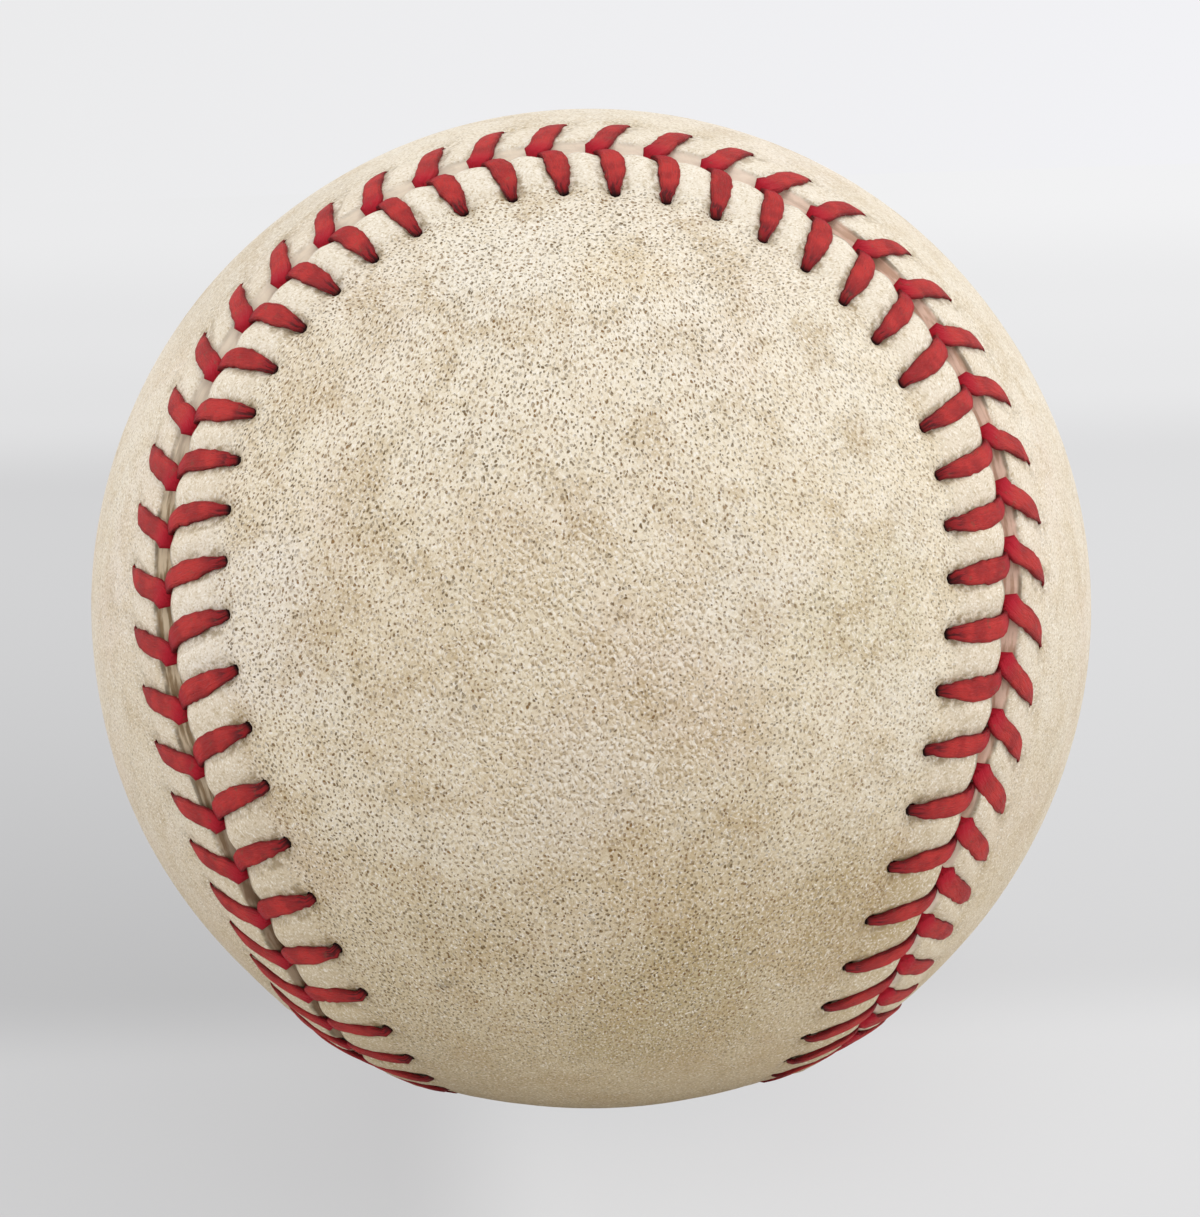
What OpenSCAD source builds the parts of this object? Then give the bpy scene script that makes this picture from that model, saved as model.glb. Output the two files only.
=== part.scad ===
// A baseball: a cushioned cork centre, four windings of yarn, a coat of cement,
// two waisted leather panels and the one red thread that sews them together.
// Millimetres, +Z up, the origin at the centre of the ball.
// The lower panel has its waist at -Z and its two lobes at +X and -X.
// The upper panel has its waist at +Z and its two lobes at +Y and -Y.

/* [Cushioned centre] */
// Diameter of the cork ball in the middle
core_d = 20.6; // [16:0.1:26]
// Wall of the two black rubber half shells round the cork
black_wall = 3.97; // [2.5:0.01:5]
// Thickness of the washer between the black half shells
washer_t = 0.8; // [0.4:0.1:2]
// Wall of the two red rubber half shells round the black ones
red_wall = 2.3; // [1.5:0.1:3.5]

/* [Windings] */
// Depth of the first winding, four-ply grey wool
winding_1_t = 14.6; // [12:0.1:17]
// Depth of the second winding, three-ply white wool
winding_2_t = 1.75; // [1.2:0.05:2.5]
// Depth of the third winding, three-ply grey wool
winding_3_t = 2.2; // [1.5:0.05:3]
// Depth of the fourth winding, fine white finishing yarn
winding_4_t = 0.48; // [0.3:0.01:0.8]
// Thickness of the cement brushed on the windings
cement_t = 0.1; // [0.06:0.01:0.2]
// Gap that keeps each layer clear of the next
layer_gap = 0.03; // [0.02:0.01:0.06]

/* [Leather cover] */
// Thickness of the leather
leather_t = 1.2; // [1:0.05:1.6]
// Width of the gap between the cut edges of the two panels
seam_gap = 0.6; // [0.5:0.05:0.8]
// Height of the leather pucker between two stitches
pucker_h = 0.55; // [0.3:0.05:0.7]
// Radius of the pucker's round crown
pucker_r = 3.4; // [2.5:0.1:3.6]
// Distance from the middle of the seam to the middle of a pucker
pucker_offset = 1.7; // [1.4:0.1:2.2]

/* [Seam path] */
// Share of the third wave in the seam's path
third_wave_share = 0.534; // [0.48:0.001:0.58]
// Share of the fifth wave in the seam's path
fifth_wave_share = 0.009; // [0:0.001:0.03]
// Share of the seam's rise above and below the middle of the ball
rise_share = 1.018; // [0.9:0.001:1.1]
// Share of the third harmonic in that rise
rise_wave_share = 0.0115; // [0:0.0005:0.02]
// Share of one stitch by which the first stitch stands past the top of the seam
phase_share = 0.07; // [0:0.01:0.5]

/* [Stitches] */
// Number of stitches, each a V with one leg on either panel
stitch_count = 108; // [96:1:112]
// Width of the square awl holes in the leather
hole_w = 1.1; // [1:0.05:1.3]
// Distance from the middle of the seam to a row of holes
hole_offset = 4.7; // [4.2:0.1:5.2]
// How far the upper panel's holes lag behind the lower panel's
hole_lag = 0.37; // [0:0.01:0.6]
// How far ahead of its hole the lower leg dives into the seam
lower_lead = 1.38; // [1:0.01:1.5]
// How far ahead of the lower hole the upper leg dives into the seam
upper_lead = 2.51; // [2.4:0.01:2.7]
// Width of the thread in the middle of a leg
thread_w = 1.8; // [1.2:0.05:2]
// Thickness of the thread in the middle of a leg
thread_t = 0.75; // [0.5:0.05:0.9]
// Width of the thread where it is drawn through a hole or the seam
neck_w = 0.8; // [0.5:0.05:0.9]
// Thickness of the thread where it is drawn through a hole or the seam
neck_t = 0.4; // [0.3:0.02:0.44]
// Thickness of the thread pressed flat beneath the leather
under_t = 0.3; // [0.2:0.01:0.34]
// Clearance round the thread
thread_gap = 0.05; // [0.03:0.01:0.08]

/* [Hidden] */

// Facets of the preview, for balls and for small round shapes
ball_fn = 160;
small_fn = 32;
// How far a cutting shape runs past what it cuts
overrun = 1;

// Radii of the layers, from the middle outwards
core_r = core_d / 2;
black_in_r = core_r + layer_gap;
black_out_r = black_in_r + black_wall;
red_in_r = black_out_r + layer_gap;
red_out_r = red_in_r + red_wall;
winding_1_in_r = red_out_r + layer_gap;
winding_1_out_r = winding_1_in_r + winding_1_t;
winding_2_in_r = winding_1_out_r + layer_gap;
winding_2_out_r = winding_2_in_r + winding_2_t;
winding_3_in_r = winding_2_out_r + layer_gap;
winding_3_out_r = winding_3_in_r + winding_3_t;
winding_4_in_r = winding_3_out_r + layer_gap;
winding_4_out_r = winding_4_in_r + winding_4_t;
cement_in_r = winding_4_out_r + layer_gap;
cement_out_r = cement_in_r + cement_t;
cover_in_r = cement_out_r + layer_gap;
ball_r = cover_in_r + leather_t;

// The seam: a direction for each angle round the ball, as seen from above
function unit(v) = v / norm(v);
function seam_dir(a) = unit([
    cos(a) - third_wave_share * cos(3 * a) - fifth_wave_share * cos(5 * a),
    -sin(a) - third_wave_share * sin(3 * a) + fifth_wave_share * sin(5 * a),
    rise_share * cos(2 * a) + rise_wave_share * cos(6 * a)
]);

// Arc length on a ball of radius 1 against the angle, so that stitches stand evenly
seam_steps = 720;
step_a = 360 / seam_steps;
arc_rows = [
    for (i = 0, run = 0; i <= seam_steps;
         run = run + norm(seam_dir((i + 1) * step_a) - seam_dir(i * step_a)), i = i + 1)
        [run, i * step_a]
];
seam_length = arc_rows[seam_steps][0] * ball_r;
pitch = seam_length / stitch_count;
function wrap(s) = s - seam_length * floor(s / seam_length);
function seam_angle(s) = lookup(wrap(s) / ball_r, arc_rows);

// The frame at a place along and across the seam: out of the ball, along, across.
// Along runs the way the seam is sewn, and across runs towards the upper panel.
function ahead_dir(a) = unit(seam_dir(a + step_a) - seam_dir(a - step_a));
function turned(v, w, a) = v * cos(a) + w * sin(a);
function across_angle(d) = d / ball_r * 180 / PI;
function frame_at(s, d) =
    let (a = seam_angle(s), p = seam_dir(a), t = ahead_dir(a), l = cross(t, p), b = across_angle(d))
        [turned(p, l, b), t, turned(l, -p, b)];
function place(s, d, h) = frame_at(s, d)[0] * (ball_r + h);

// Places of stitch number n on the panel of the given side, -1 lower and 1 upper
function hole_s(side, n) = (n + phase_share) * pitch - (side > 0 ? hole_lag : 0);
function dive_s(side, n) = (n + phase_share) * pitch + (side > 0 ? upper_lead : lower_lead);
function leg_s(side, n) = (hole_s(side, n) + dive_s(side, n)) / 2;

// Heights of the thread's middle above the ball, and how it lies in the seam
leg_h = thread_gap + thread_t / 2;
exit_h = thread_gap + neck_t / 2;
under_h = -leather_t + 2 * thread_gap + under_t / 2;
dive_offset = seam_gap / 2 - thread_gap - neck_t / 2;
// The leather dips beneath each leg in a valley with a flat bottom and two slopes, which
// are three sides of a hexagon that clears the thread
valley_sides = 6;
half_side_a = 180 / valley_sides;
valley_r = (thread_w / 2 + thread_gap) / tan(half_side_a) - leg_h - thread_gap;

// One ring of the thread: its place, the heading of its width, its climb and its size
function ring(s, d, h, way, slant, climb, w, t) =
    let (f = frame_at(s, d), wide = turned(f[1], -f[2] * way, slant),
         level = turned(f[2] * way, f[1], slant), go = turned(level, f[0], climb),
         thick = cross(go, wide), c = f[0] * (ball_r + h))
        [c + wide * w / 2, c + thick * t / 2, c - wide * w / 2, c - thick * t / 2];

// Slant of a leg, and of the run beneath the leather that ends at a hole
function leg_slant(side) =
    atan2(dive_s(side, 0) - hole_s(side, 0), hole_offset - dive_offset);
function under_slant(side) =
    atan2(hole_s(side, 1) - dive_s(-side, 0), hole_offset);

// One leg of a stitch: up through its hole, over the leather and down into the seam
function leg(side, n) = [
    ring(hole_s(side, n), side * hole_offset, under_h,
         side, under_slant(side), 45, neck_w, under_t),
    ring(hole_s(side, n), side * hole_offset, exit_h,
         -side, leg_slant(side), 45, neck_w, neck_t),
    ring(leg_s(side, n), side * (hole_offset + dive_offset) / 2, leg_h,
         -side, leg_slant(side), 0, thread_w, thread_t),
    ring(dive_s(side, n), side * dive_offset, exit_h,
         -side, 0, -45, neck_w, neck_t),
    ring(dive_s(side, n), 0, under_h,
         -side, 0, -45, neck_w, under_t)
];
// Each end of the thread is tucked beneath the panel across the seam, part of the way
// along the run to where the next hole would be
tail_share = 0.25;
function tail(side, n) = [
    ring(dive_s(side, n) * (1 - tail_share) + hole_s(-side, n + 1) * tail_share,
         -side * hole_offset * tail_share, under_h,
         -side, under_slant(-side), 0, neck_w / 2, under_t)
];
// Half of the thread: its legs cross from one panel to the other at every stitch
function side_of(first_side, n) = n % 2 == 0 ? first_side : -first_side;
function half_thread(first_side) = concat(
    [for (n = [0 : stitch_count - 1]) each leg(side_of(first_side, n), n)],
    tail(side_of(first_side, stitch_count - 1), stitch_count - 1)
);
function backwards(list) = [for (i = [len(list) - 1 : -1 : 0]) list[i]];
// Read backwards, a ring's thickness faces the other way, so its corners swap
function flipped(r) = [r[0], r[3], r[2], r[1]];
// The middle of the thread crosses beneath both panels, between the first two holes
middle_s = (hole_s(-1, 0) + hole_s(1, 0)) / 2;
middle_ring = ring(middle_s, 0, under_h, -1, 0, 0, neck_w, under_t);
thread_rings = concat(
    [for (r = backwards(half_thread(1))) flipped(r)],
    [middle_ring],
    half_thread(-1)
);

// A closed tube through rings that each have the same number of corners
module tube(rings) {
    sides = len(rings[0]);
    last = (len(rings) - 1) * sides;
    polyhedron(
        points = [for (r = rings) each r],
        faces = concat(
            [[for (j = [0 : sides - 1]) j]],
            [for (i = [0 : len(rings) - 2], j = [0 : sides - 1])
                let (a = i * sides, b = a + sides, k = (j + 1) % sides)
                    each [[a + j, b + j, b + k], [a + j, b + k, a + k]]],
            [[for (j = [sides - 1 : -1 : 0]) last + j]]
        ),
        convexity = 10
    );
}

// Moves its children to a place along and across the seam, with X along the seam,
// Y across it and Z out of the ball
module set_on_ball(s, d, h) {
    f = frame_at(s, d);
    x = f[1];
    y = f[2];
    z = f[0];
    o = z * (ball_r + h);
    multmatrix([
        [x[0], y[0], z[0], o[0]],
        [x[1], y[1], z[1], o[1]],
        [x[2], y[2], z[2], o[2]],
        [0, 0, 0, 1]
    ]) children();
}

module ball(r) {
    sphere(r = r, $fn = ball_fn);
}

module layer(in_r, out_r) {
    difference() {
        ball(out_r);
        ball(in_r);
    }
}

// The part of a layer above the height face_z
module upper_shell(in_r, out_r, face_z) {
    wide = out_r + overrun;
    difference() {
        ball(out_r);
        ball(in_r);
        translate([0, 0, face_z - wide])
            cube(2 * wide, center = true);
    }
}

// Everything beneath the lower panel's outline, as a cone from the middle of the ball.
// The outline follows the seam, half a gap away, and strips between opposite points
// close the cone well outside the ball.
outline_count = 160;
cone_share = 3;
module lower_cone() {
    ring_pts = [
        for (i = [0 : outline_count - 1])
            frame_at(i * seam_length / outline_count, -seam_gap / 2)[0] * ball_r * cone_share
    ];
    half = outline_count / 2;
    polyhedron(
        points = concat(ring_pts, [[0, 0, 0]]),
        faces = concat(
            [for (i = [0 : outline_count - 1])
                [i, (i + 1) % outline_count, outline_count]],
            [[outline_count - 1, 1, 0]],
            [for (i = [1 : half - 2])
                [outline_count - i, outline_count - i - 1, i + 1, i]],
            [[half + 1, half, half - 1]]
        ),
        convexity = 10
    );
}
// The upper panel is the same shape, a quarter turn round and the other way up
module cone(side) {
    if (side < 0)
        lower_cone();
    else
        mirror([0, 0, 1])
            rotate([0, 0, 90])
                lower_cone();
}

// The round crowns that the leather makes between the legs on one panel
module puckers(side) {
    for (n = [0 : stitch_count - 1])
        set_on_ball(leg_s(side, n) + pitch / 2, side * pucker_offset, pucker_h - pucker_r)
            sphere(r = pucker_r, $fn = small_fn);
}

// The valleys in which the legs lie on one panel
module valleys(side) {
    reach = hole_offset + 2 * overrun;
    for (n = [0 : stitch_count - 1])
        set_on_ball(leg_s(side, n), side * hole_offset / 2, valley_r - thread_gap)
            rotate([90, 0, side * leg_slant(side)])
                rotate([0, 0, half_side_a])
                    cylinder(r = valley_r / cos(half_side_a), h = reach, center = true,
                        $fn = valley_sides);
}

module holes(side) {
    for (n = [0 : stitch_count - 1])
        set_on_ball(hole_s(side, n), side * hole_offset, -leather_t / 2)
            rotate([0, 0, side * under_slant(side)])
                cube([hole_w, hole_w, leather_t + 2 * overrun], center = true);
}

// The tracks that the thread presses into the underside of one panel, each from the
// seam to a hole
module thread_tracks(side) {
    thread_track(side, middle_s, 0);
    for (n = [0 : stitch_count - 1])
        thread_track(side, dive_s(-side, n - 1), n);
}
module thread_track(side, start_s, n) {
    track_w = neck_w + 4 * thread_gap;
    track_top = under_h + under_t / 2 + thread_gap;
    start = place(start_s, 0, track_top);
    end = place(hole_s(side, n), side * hole_offset, track_top);
    along_chord(start, end)
        translate([0, 0, -overrun / 2])
            cube([norm(end - start), track_w, overrun], center = true);
}
// Moves its children to the middle of a chord, with X along it and Z out of the ball
module along_chord(start, end) {
    mid = (start + end) / 2;
    x = unit(end - start);
    y = unit(cross(mid, x));
    z = cross(x, y);
    multmatrix([
        [x[0], y[0], z[0], mid[0]],
        [x[1], y[1], z[1], mid[1]],
        [x[2], y[2], z[2], mid[2]],
        [0, 0, 0, 1]
    ]) children();
}

module cork_core() {
    color("#b98a55") ball(core_r);
}

module black_shell_upper() {
    color("#1c1c1e") upper_shell(black_in_r, black_out_r, washer_t / 2 + layer_gap);
}
module black_shell_lower() {
    mirror([0, 0, 1]) black_shell_upper();
}
module cushion_washer() {
    color("#b3262b") intersection() {
        layer(black_in_r, black_out_r);
        cylinder(r = black_out_r + overrun, h = washer_t, center = true, $fn = ball_fn);
    }
}

module red_shell_upper() {
    color("#a8252b") upper_shell(red_in_r, red_out_r, layer_gap / 2);
}
module red_shell_lower() {
    mirror([0, 0, 1]) red_shell_upper();
}

module winding_1() {
    color("#8d8f93") layer(winding_1_in_r, winding_1_out_r);
}
module winding_2() {
    color("#ece9e0") layer(winding_2_in_r, winding_2_out_r);
}
module winding_3() {
    color("#97999c") layer(winding_3_in_r, winding_3_out_r);
}
module winding_4() {
    color("#f2f0e8") layer(winding_4_in_r, winding_4_out_r);
}
module cement_coat() {
    color("#d9c9a0") layer(cement_in_r, cement_out_r);
}

module cover_panel(side) {
    color("#e6dac2") difference() {
        intersection() {
            union() {
                ball(ball_r);
                puckers(side);
            }
            cone(side);
        }
        ball(cover_in_r);
        valleys(side);
        holes(side);
        thread_tracks(side);
    }
}

module stitch_thread() {
    color("#a81f2b") tube(thread_rings);
}

cork_core();
black_shell_lower();
black_shell_upper();
cushion_washer();
red_shell_lower();
red_shell_upper();
winding_1();  // winding_1_grey_wool
winding_2();  // winding_2_white_wool
winding_3();  // winding_3_grey_wool
winding_4();  // winding_4_finishing_yarn
cement_coat();
cover_panel(-1);  // cover_panel_lower
cover_panel(1);  // cover_panel_upper
stitch_thread();
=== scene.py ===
# %% [markdown]
# # A worn baseball, dressed in Blender
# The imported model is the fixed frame: a cushioned cork centre, four windings, a coat of
# cement, two leather panels and one red thread, each a separate node. Every new piece is
# laid where those nodes say. The inner nodes keep their meshes and only get finishes. The
# leather and the thread are soft goods, so they are modelled again here with their folds.

# %% Load the frame and keep its box
import math
import bpy
import numpy as np
from mathutils import Matrix, Vector, noise
from mathutils.geometry import delaunay_2d_cdt


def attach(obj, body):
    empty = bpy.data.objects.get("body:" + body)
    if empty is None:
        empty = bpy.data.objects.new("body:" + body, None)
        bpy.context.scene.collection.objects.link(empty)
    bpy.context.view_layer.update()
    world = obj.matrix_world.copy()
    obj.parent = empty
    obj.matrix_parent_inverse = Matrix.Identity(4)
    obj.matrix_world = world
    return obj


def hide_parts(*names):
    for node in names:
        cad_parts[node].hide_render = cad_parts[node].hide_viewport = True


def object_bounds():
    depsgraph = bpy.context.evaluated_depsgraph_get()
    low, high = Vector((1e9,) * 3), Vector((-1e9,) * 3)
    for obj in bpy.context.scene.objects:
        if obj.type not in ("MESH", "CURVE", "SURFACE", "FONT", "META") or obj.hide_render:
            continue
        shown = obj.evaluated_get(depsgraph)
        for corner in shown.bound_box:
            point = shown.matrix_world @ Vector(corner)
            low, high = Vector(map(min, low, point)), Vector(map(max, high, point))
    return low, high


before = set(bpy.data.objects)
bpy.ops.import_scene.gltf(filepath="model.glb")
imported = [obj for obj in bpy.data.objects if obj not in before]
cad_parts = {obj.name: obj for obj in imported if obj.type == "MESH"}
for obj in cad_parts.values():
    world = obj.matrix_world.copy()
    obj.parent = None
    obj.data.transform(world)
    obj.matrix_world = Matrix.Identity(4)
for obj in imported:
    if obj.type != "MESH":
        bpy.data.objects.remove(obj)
cad_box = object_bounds()
MM = 0.001
ball_r = max(abs(side) for corner in cad_box for side in corner)
print("ball radius", round(ball_r / MM, 2), "mm, nodes", len(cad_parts))

# %% [markdown]
# ## The seam
# The seam is one closed curve, drawn as a few waves round the ball. Stitches are counted by
# length along it, so the curve is first measured in small steps, and a length is then turned
# back into an angle. Everything near the seam is placed by three numbers: how far along it,
# how far across it (plus is the upper panel's side), and how high above the ball.

# %% The seam's curve and its length
third_wave, fifth_wave = 0.534, 0.009
rise, rise_wave = 1.018, 0.0115
stitch_count = 108
seam_steps = 7200


def unit(v):
    return v / np.linalg.norm(v, axis=-1, keepdims=True)


def seam_dir(a):
    return unit(np.stack([
        np.cos(a) - third_wave * np.cos(3 * a) - fifth_wave * np.cos(5 * a),
        -np.sin(a) - third_wave * np.sin(3 * a) + fifth_wave * np.sin(5 * a),
        rise * np.cos(2 * a) + rise_wave * np.cos(6 * a)], axis=-1))


angles = np.linspace(0, 2 * math.pi, seam_steps + 1)
steps = np.linalg.norm(np.diff(seam_dir(angles), axis=0), axis=1)
run = np.concatenate([[0], np.cumsum(steps)]) * ball_r
seam_length = run[-1]
pitch = seam_length / stitch_count
print("seam", round(seam_length / MM, 1), "mm, pitch", round(pitch / MM, 3), "mm")


# %% Places along, across and above the seam
def frame_at(s, d):
    """Out of the ball, along the seam and across it, at a place given by two lengths."""
    angle = np.interp(np.mod(s, seam_length), run, angles)
    half_step = math.pi / seam_steps
    out = seam_dir(angle)
    ahead = unit(seam_dir(angle + half_step) - seam_dir(angle - half_step))
    aside = np.cross(ahead, out)
    turn = (np.asarray(d) / ball_r)[..., None]
    out, aside = (out * np.cos(turn) + aside * np.sin(turn),
                  aside * np.cos(turn) - out * np.sin(turn))
    return out, ahead, aside


def place(s, d, h):
    return frame_at(s, d)[0] * (ball_r + np.asarray(h))[..., None]


# %% [markdown]
# ## Where the needle went
# Each stitch is a V with one leg on either panel. A leg comes up through its hole, lies over
# the leather and dives into the seam. Its thread then runs beneath the other panel to that
# panel's next hole, so the legs of one needle cross from side to side. The stitches are the
# frame's, but a hand does not space its holes evenly, so the places where they were seen are
# moved by up to a millimetre, to where the photograph shows them.

# %% Holes and dives, for the lower (-1) and the upper (+1) panel
phase = 0.07
even_hole = 4.7 * MM
dive_offset = {-1: 0.0 * MM, 1: 0.60 * MM}
leather_t = 1.2 * MM
cement_r = ball_r - leather_t
side_name = {-1: "lower", 1: "upper"}
SEEN = [-17, -14, -11, -8, -5, -2, 1, 4, 7, 10, 13, 16]  # numbers of the stitches below
HOLE_AHEAD = {  # mm along the seam from the stitch's even mark
    -1: [0.2, 0.15, -0.2, -0.4, -0.2, 0.3, 0.6, 0.7, 0.7, 0.5, 0.3, 0.1],
    1: [-0.6, 0.1, 0.5, 0.3, -0.1, 0.1, 0.2, 0.1, -0.15, -0.25, -0.05, 0.0]}
HOLE_ACROSS = {  # mm from the seam
    -1: [5.0, 5.35, 5.5, 5.7, 5.5, 5.2, 5.05, 5.2, 5.35, 5.55, 5.65, 5.35],
    1: [5.1, 4.8, 4.95, 5.45, 5.7, 5.5, 5.65, 5.45, 5.2, 4.95, 4.9, 5.1]}
DIVE_AHEAD = {  # the same for where the leg goes into the seam
    -1: [1.4] * len(SEEN),
    1: [3.0, 2.75, 2.6, 2.2, 2.05, 2.2, 2.4, 2.4, 2.35, 2.35, 2.35, 2.35]}


def between(table, side, n):
    """A value of a table at stitch n, which may lie between two of the stitches listed."""
    return np.interp(n, SEEN, table[side], period=stitch_count) * MM


def hole_s(side, n):
    return (n + phase) * pitch + between(HOLE_AHEAD, side, n)


def hole_d(side, n):
    return between(HOLE_ACROSS, side, n)


def dive_s(side, n):
    return (n + phase) * pitch + between(DIVE_AHEAD, side, n)


for side in (-1, 1):
    lead = np.mean([dive_s(side, n) - hole_s(side, n) for n in SEEN])
    print(side_name[side], "legs lean", round(math.degrees(math.atan2(lead, even_hole))), "deg")


# %% [markdown]
# ## A sheet laid along the seam
# A leather edge follows the whole seam, and so does the thread, so both start as a flat grid
# primitive whose columns go round the ball and whose vertices are then moved to their
# places. The first and the last column fall on each other and are merged, which closes the
# ring. Moving a primitive keeps its clean rows, which a boolean or a sculpt would lose.

# %% Helpers for pieces made by hand
def select_only(obj):
    bpy.ops.object.select_all(action="DESELECT")
    obj.select_set(True)
    bpy.context.view_layer.objects.active = obj


def placed_grid(name, points):
    """A grid primitive with its vertices at points, an array of rows x columns x 3."""
    rows, columns = points.shape[:2]
    bpy.ops.mesh.primitive_grid_add(x_subdivisions=columns - 1, y_subdivisions=rows - 1)
    obj = bpy.context.object
    obj.name = obj.data.name = name
    obj.data.vertices.foreach_set("co", points.reshape(-1))
    obj.data.update()
    return obj


def keep_numbers(obj, numbers):
    """Stores one number a vertex under each name, for the finishes to read."""
    for name, values in numbers.items():
        layer = obj.data.attributes.new(name, "FLOAT", "POINT")
        layer.data.foreach_set("value", np.asarray(values, np.float32).reshape(-1))


def read(items, name, kind=float, width=1):
    """One value of every item in a mesh's list, or width values side by side."""
    values = np.empty(len(items) * width, kind)
    items.foreach_get(name, values)
    return values.reshape(-1, width) if width > 1 else values


def read_numbers(obj, name):
    return read(obj.data.attributes[name].data, "value", np.float32).astype(float)


def vertex_places(obj):
    return read(obj.data.vertices, "co", width=3)


def in_edit_mode(obj, *jobs):
    """Runs mesh operators on one object, in the order given, each with its settings."""
    select_only(obj)
    bpy.ops.object.mode_set(mode="EDIT")
    for operator, settings in jobs:
        operator(**settings)
    bpy.ops.object.mode_set(mode="OBJECT")


SELECT_ALL = (bpy.ops.mesh.select_all, {"action": "SELECT"})
SELECT_NONE = (bpy.ops.mesh.select_all, {"action": "DESELECT"})


def report(obj):
    faces = sum(len(p.vertices) - 2 for p in obj.data.polygons)
    print(obj.name, len(obj.data.vertices), "vertices,", faces, "triangles")


# %% [markdown]
# ## The leather beside the seam
# The stitches draw the leather down into a valley under each leg, and between two legs it
# swells into a smooth tongue whose lip rolls into the seam. Each row of the sheet says how
# far it lies from the seam, how high it lies beneath a leg, how much higher it lies in the
# middle of a tongue, and how far that tongue pushes out over the seam. The upper panel swells
# much less, except low on both sides of the photograph, where it puffs up like the lower one.

# %% The rows from the bottom of the seam to the open leather
LIP_ROWS = {  # across, height, swell, push, in mm
    -1: [(0.14, -1.13, 0.00, 0.00), (0.20, -0.82, 0.00, 0.00), (0.28, -0.50, 0.05, 0.03),
         (0.38, -0.24, 0.15, 0.09), (0.54, -0.10, 0.27, 0.14), (0.80, -0.02, 0.36, 0.14),
         (1.20, 0.02, 0.41, 0.08), (1.66, 0.03, 0.43, 0.03)],
    1: [(0.14, -1.13, 0.00, 0.00), (0.48, -0.86, 0.00, 0.00), (0.84, -0.64, 0.00, 0.00),
        (1.20, -0.44, 0.00, 0.00), (1.54, -0.22, 0.01, 0.02), (1.80, -0.07, 0.04, 0.03),
        (1.94, -0.01, 0.08, 0.02), (2.04, 0.01, 0.11, 0.01)]}
OPEN_ROWS = [
    (2.14, 0.02, 0.42, 0.00), (2.38, 0.02, 0.43, 0.00), (2.64, 0.01, 0.41, 0.00),
    (2.92, 0.00, 0.37, 0.00), (3.22, -0.01, 0.32, 0.00), (3.54, -0.02, 0.27, 0.00),
    (3.85, -0.03, 0.22, 0.00), (4.12, -0.05, 0.17, 0.00), (4.42, -0.06, 0.12, 0.00),
    (4.70, -0.06, 0.09, 0.00), (4.98, -0.05, 0.06, 0.00), (5.28, -0.02, 0.04, 0.00),
    (5.65, 0.00, 0.02, 0.00), (6.10, 0.00, 0.01, 0.00), (6.60, 0.00, 0.00, 0.00)]
PANEL_ROWS = {side: np.array(rows + OPEN_ROWS) * MM for side, rows in LIP_ROWS.items()}
upper_share = 0.30  # of the heights and swells, in the upper panel's open rows
PANEL_ROWS[1][len(LIP_ROWS[1]):, 1:3] *= upper_share
PUFFS = {  # stitches where the upper panel swells like the lower one, and by what share
    -25: 0.0, -20: 1.0, -16: 1.0, -14: 0.0, 14: 0.0, 17: 0.8, 20: 0.8, 25: 0.0}
row_count = len(PANEL_ROWS[1])
last_across = OPEN_ROWS[-1][0] * MM
hole_row = 17
per_stitch = 12
columns = stitch_count * per_stitch
hole_r = {-1: 0.42 * MM, 1: 0.20 * MM}
least_gap = 0.05 * MM
hole_dip = {-1: 0.24 * MM, 1: 0.09 * MM}
dip_r, hole_dirt_r = 0.62 * MM, 1.0 * MM
pucker_ahead, pucker_back = 0.95 * MM, 0.2 * MM
pucker_long, pucker_wide, pucker_height = 0.38 * MM, 0.55 * MM, 0.13 * MM
uneven_size, uneven_height = 1.7 * MM, 0.16 * MM
uneven_from, uneven_over = 0.6 * MM, 1.2 * MM
crown_power = 0.66
CARRY = ([1.2, 4.42, 4.98, 6.6], [0, 1, 1, 0])  # mm from the seam, share of the hole's shift
EDGE = ([0, 3, 4, 5, 6], [1, 0.9, 0.65, 0.3, 0])  # row, how much it belongs to the cut edge


def leg_shift(side, across, n):
    """How far ahead of the even mark of stitch n a leg is, at a distance from the seam."""
    share = np.clip((across - dive_offset[side]) / (hole_d(side, n) - dive_offset[side]), 0, 1)
    dive = between(DIVE_AHEAD, side, n)
    return dive + (between(HOLE_AHEAD, side, n) - dive) * share


def to_real(side, across, n):
    """Moves rows drawn for a hole at the even distance so that their hole is where it is."""
    return across + (hole_d(side, n) - even_hole) * np.interp(across / MM, *CARRY)


def lumps(points, size, height, seed=0.0):
    """Soft unevenness that only goes inwards, as in a ball that has been hit."""
    shift = Vector((seed, -seed, 2 * seed))
    return np.array([(noise.noise(Vector(p / size) + shift) - 1) * height / 2 for p in points])


def bell(x):
    return np.exp(-(x ** 2))


print(row_count, "rows by", columns, "columns a panel")


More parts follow.
